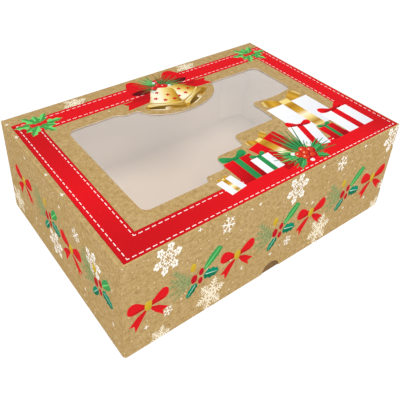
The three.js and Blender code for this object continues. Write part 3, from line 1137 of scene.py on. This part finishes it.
def clear_film():
    """See-through film, glossy where it is seen aslant."""
    material, tree = new_material("clear_film")
    haze = ramp(tree, noise(tree, sheet_place(tree), *HAZE_NOISE), *HAZE_RANGE)
    clear = node(tree, "BsdfTransparent", {"Color": mix(tree, haze, *FILM_TINTS)})
    gloss = node(tree, "BsdfGlossy", {"Color": FILM_SHEEN, "Roughness": FILM_ROUGHNESS})
    facing = node(tree, "LayerWeight", {"Blend": FILM_FACING}).outputs["Facing"]
    gleam = ramp(tree, calc(tree, "POWER", facing, FILM_GLOSS_FALL), 0.0, 1.0, FILM_GLOSS, 1.0)
    return finish(material, {0: gleam, 1: clear.outputs[0], 2: gloss.outputs[0]}, "MixShader")


def dried_glue():
    material, tree = new_material("glue")
    place = node(tree, "TexCoord").outputs["Object"]
    tone = mix(tree, noise(tree, place, *GLUE_NOISE), *GLUE_TONES)
    return finish(material, {"Base Color": tone, "Roughness": GLUE_ROUGHNESS})


printed = kraft_board("printed_kraft", *PRINTED_TONES)
# Unprinted kraft whose darkness is partly painted shade for the thumb notch's recess
plain = kraft_board("plain_kraft_and_painted_shade", *PLAIN_AND_SHADE_TONES)
white = white_board("white_board")
# Tray lining with painted shade along its folds
tray_white_painted_shade = white_board("tray_liner_painted_shade", FOLD_SHADE)
film_look = clear_film()
glue_look = dried_glue()
edge = cut_edge("board_edge", CORE_DEPTH, *PRINTED_TONES[2:])
# Cut edge in the same tones, with their painted shade
plain_edge = cut_edge("plain_edge", CORE_DEPTH, *PLAIN_AND_SHADE_TONES[2:])
pale_edge = cut_edge("pale_edge", PALE_CORE_DEPTH, *PRINTED_TONES[2:])

# Looks of the outside, the inside and the cut edge
PRINTED_BOARD = (printed, white, edge)
WINDOW_BOARD = (printed, white, pale_edge)
BACK_BOARD = (printed, tray_white_painted_shade, edge)
# Plain boards carry the darker kraft with painted shade on their outside
PLAIN_BOARD = (plain, tray_white_painted_shade, plain_edge)
TAB_BOARD = (plain, white, pale_edge)


# Pieces

LID_TOP_FACES = 0.9
ENDS = (("left", -1), ("right", 1))
TOP_SEED, FRONT_SEED, END_SEED, BACK_SEED = 3, 11, 20, 31


def level_line(y, reach):
    return (-reach, y), (reach, y)


def upright(x, low, high):
    return (x, low), (x, high)


def both_sides(half):
    """Outline from its right half and that half's mirror image."""
    return half + [(-x, y) for x, y in reversed(half)]


def grid(box, step):
    """Score lines across a box (left, low, right, high), about one step apart."""
    left, low, right, high = box
    columns, rows = round((right - left) / step), round((high - low) / step)
    lines = [upright(left + (right - left) * i / columns, low, high) for i in range(1, columns)]
    levels = [low + (high - low) * i / rows for i in range(1, rows)]
    return lines + [((left, y), (right, y)) for y in levels]


def window_edge():
    """Outline of the window, from the inner loop of the lid's CAD top face."""
    mesh = frame["nodes"]["lid_top_panel"].data
    spots = [tuple(round(c / MM, SPOT_DIGITS) for c in vertex.co.xy) for vertex in mesh.vertices]
    tops = [face.vertices for face in mesh.polygons if face.normal.z > LID_TOP_FACES]
    follows = dict(open_edges([[spots[i] for i in corners] for corners in tops]))
    loop = [min(follows, key=lambda p: p[0] ** 2 + p[1] ** 2)]
    while follows[loop[-1]] != loop[0]:
        loop.append(follows[loop[-1]])
    return loop[::-1]


def add_board(node_name, panel, place, body, look):
    made = make_sheet(node_name + "_board", panel, place, BOARD, look)
    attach(made, body)
    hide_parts(node_name)


def add_tab(name, side, root, level, view, body, look):
    """Tapered corner tab with its outside at a y level."""
    low, high = node_box(name)
    root, tip = view * side * root, view * (low.x if side > 0 else high.x)
    outline = [(root, low.z), (root, high.z), (tip, high.z - TAB_TAPER), (tip, low.z + TAB_TAPER)]
    add_board(name, Panel(counter_clockwise(outline)), place_wall(level, view), body, look)


def make_lid():
    r = FOLD_RADIUS
    half = [(lid_side - r, lid_front - r), (lid_side, lid_front), (lid_side, lid_tab_front),
            (lid_side + r, lid_tab_front), (lid_side + r, box_back), (tray_side, box_back),
            (tray_side, box_back - CREASE_REACH)]
    scores = [level_line(lid_front - s, lid_side) for s in FOLD_LEVELS]
    for side in (-1, 1):
        scores += [upright(side * (lid_side + s), lid_front, box_back) for s in FOLD_LEVELS]
    top = Panel(both_sides(half), [window_edge()], scores)
    print_lid_top(top, TOP_SEED)
    add_board("lid_top_panel", top, place_lid_top, "lid", WINDOW_BOARD)

    wall_top = box_top - r
    notch = ellipse(0, lid_bottom, -NOTCH_WIDTH / 2, NOTCH_RISE, 0, pi)
    front = Panel(rounded([(-lid_side, wall_top), (-lid_side, lid_bottom, WALL_CORNER_RADIUS), *notch,
                           (lid_side, lid_bottom, WALL_CORNER_RADIUS), (lid_side, wall_top)]))
    print_wall(front, FRONT_SEED, **LONG_PRINT)
    add_board("lid_front_wall", front, place_wall(lid_front, 1), "lid", PRINTED_BOARD)

    for name, side in ENDS:
        low, high = node_box(f"lid_{name}_corner_tab")
        fold = side * lid_tab_front
        past = fold - side * r
        foot = low.z - lid_bottom
        corners = [(side * box_back, wall_top), (side * box_back, lid_bottom, WALL_CORNER_RADIUS),
                   (fold, lid_bottom, foot), (past, low.z), (past, high.z), (fold, high.z),
                   (fold, wall_top)]
        creases = [upright(fold - side * s, low.z, wall_top) for s in FOLD_LEVELS]
        wall = Panel(counter_clockwise(rounded(corners)), scores=creases)
        print_wall(wall, END_SEED + side, **SHORT_PRINT)
        place = place_end(side, lid_side, lid_tab_front, NO_FOLD)
        add_board(f"lid_{name}_wall", wall, place, "lid", PRINTED_BOARD)
        add_tab(f"lid_{name}_corner_tab", side, lid_side - r, lid_tab_front, 1, "lid", PRINTED_BOARD)


def make_tray():
    r = FOLD_RADIUS
    half = [(tray_side - r, tray_front - r), (tray_side, tray_front), (tray_side + r, tray_front + r),
            (tray_side + r, box_back - r), (tray_side, box_back), (tray_side - r, box_back + r)]
    bowed = (-tray_side, tray_front - r, tray_side, box_back + r)
    floor = Panel(both_sides(half), scores=grid(bowed, BOW_GRID))
    for s in FOLD_LEVELS:
        floor.scores += [level_line(y, tray_side) for y in (tray_front - s, box_back + s)]
        floor.scores += [upright(side * (tray_side + s), tray_front, box_back) for side in (-1, 1)]
    add_board("base_floor", floor, place_floor, "base", PLAIN_BOARD)

    sides = (-tray_side, r, tray_side, tray_rim)
    front = Panel(rectangle(*sides), scores=grid(sides, BOW_GRID))
    add_board("base_front_wall", front, place_tray_front, "base", PLAIN_BOARD)
    back = Panel(rectangle(-tray_side, r, tray_side, box_top - CREASE_REACH))
    print_wall(back, BACK_SEED, **LONG_PRINT)
    add_board("base_back_wall", back, place_wall(box_back, -1), "base", BACK_BOARD)

    for name, side in ENDS:
        low, high = node_box(f"base_front_{name}_tab")
        corners, creases = [], []
        for end, out in ((tray_tab_front, -1), (tray_tab_back, 1)):
            tip = end + out * r
            run = [(end, r), (end, low.z), (tip, low.z), (tip, high.z), (end, high.z), (end, tray_rim)]
            corners += run if out > 0 else run[::-1]
            creases += [upright(side * (end + out * s), low.z, tray_rim) for s in FOLD_LEVELS]
        wall = Panel(counter_clockwise([(side * y, z) for y, z in corners]), scores=creases)
        place = place_end(side, tray_side, tray_tab_front, tray_tab_back)
        add_board(f"base_{name}_wall", wall, place, "base", PLAIN_BOARD)
        root = tray_side - r
        add_tab(f"base_front_{name}_tab", side, root, tray_tab_front, 1, "base", TAB_BOARD)
        add_tab(f"base_back_{name}_tab", side, root, tray_tab_back, -1, "base", TAB_BOARD)


def make_crease():
    """Strip of board that bends where the lid hinges on the tray's back wall."""
    low, high = box_top - CREASE_REACH, box_top + CREASE_REACH
    scores = [level_line(box_top + s, tray_side) for s in FOLD_LEVELS]
    strip = Panel(rectangle(-tray_side, low, tray_side, high), scores=scores)
    made = make_sheet("hinge_crease", strip, place_crease, BOARD, PRINTED_BOARD)
    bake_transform(made)


def make_film():
    box = (film_low.x, film_low.y, film_high.x, film_high.y)
    sheet = Panel(rectangle(*box), scores=grid(box, FILM_GRID))
    made = make_sheet("window_film_sheet", sheet, place_film, film_high.z - film_low.z, (film_look,) * 3)
    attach(made, "lid")
    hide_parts("window_film")


def finish_glue():
    """Finish of the glue lines, which keep their CAD shapes."""
    for name, glued in frame["nodes"].items():
        if "glue" in name:
            glued.data.materials.clear()
            glued.data.materials.append(glue_look)


make_lid()
make_tray()
make_crease()
make_film()
finish_glue()


# Studio

# Camera: azimuth, tilt up from straight down, and roll in degrees, and its place along its turned axes
CAMERA_TURNS = ((-37.907, "Z"), (56.116, "X"), (2.283, "Z"))
CAMERA_PLACE = (-0.0082, 0.0607, 0.4068)
CAMERA_LENS = 48.75
CAMERA_SHIFT = (0.03, -0.19)
CAMERA_CLIP = (0.01, 50)

# Floor and sky
FLOOR_BOX = (-3, -3, 3, 3)
FLOOR_COLOUR = (0.5, 0.5, 0.5, 1)
WORLD_COLOUR = (1.0, 1.0, 1.0, 1)
WORLD_LIGHT = 0.3
BACKDROP_LIGHT = 1.05

# Lamps: their target, and the name, place, size and power of each
LIGHT_TARGET = Vector((0, 0, 0.04))
SOFT_BOXES = (
    ("high_key", (-0.2, -0.69, 1.41), 0.9, 18.8), ("low_key", (0.1, -1.42, 0.4), 0.7, 7.2),
    ("side", (-1.54, -0.1, 0.28), 0.5, 11.6), ("back", (1.1, 0.9, 0.2), 0.6, 5.4),
)


def make_camera():
    data = bpy.data.cameras.new("camera")
    data.lens = CAMERA_LENS
    data.shift_x, data.shift_y = CAMERA_SHIFT
    data.clip_start, data.clip_end = CAMERA_CLIP
    camera = add_object("camera", data)
    azimuth, tilt, roll = (Matrix.Rotation(radians(turn), 4, axis) for turn, axis in CAMERA_TURNS)
    camera.matrix_world = azimuth @ tilt @ roll @ Matrix.Translation(CAMERA_PLACE)
    bpy.context.scene.camera = camera


def make_floor():
    """Floor that gives light back but is hidden, as the photo's ground is plain white."""
    material = finish(new_material("studio_floor")[0], {"Color": FLOOR_COLOUR}, "BsdfDiffuse")
    mesh = bpy.data.meshes.new("studio_floor")
    mesh.from_pydata([(x, y, 0) for x, y in rectangle(*FLOOR_BOX)], [], [(0, 1, 2, 3)])
    mesh.materials.append(material)
    floor = add_object("studio_floor", mesh)
    floor.visible_camera = False


def make_light():
    world, tree = new_tree(bpy.data.worlds.new("studio"))
    path = node(tree, "LightPath").outputs
    seen = calc(tree, "MAXIMUM", path["Is Camera Ray"], path["Is Glossy Ray"])
    level = ramp(tree, seen, 0.0, 1.0, WORLD_LIGHT, BACKDROP_LIGHT)
    bpy.context.scene.world = finish(
        world, {"Color": WORLD_COLOUR, "Strength": level}, "Background", "OutputWorld")
    for name, place, size, power in SOFT_BOXES:
        data = bpy.data.lights.new(name, "AREA")
        data.size, data.energy = size, power
        lamp = add_object(name, data)
        lamp.location = place
        lamp.rotation_euler = (LIGHT_TARGET - Vector(place)).to_track_quat("-Z", "Y").to_euler()
        lamp.visible_glossy = False
    bpy.context.scene.view_settings.view_transform = "Standard"


make_camera()
make_floor()
make_light()
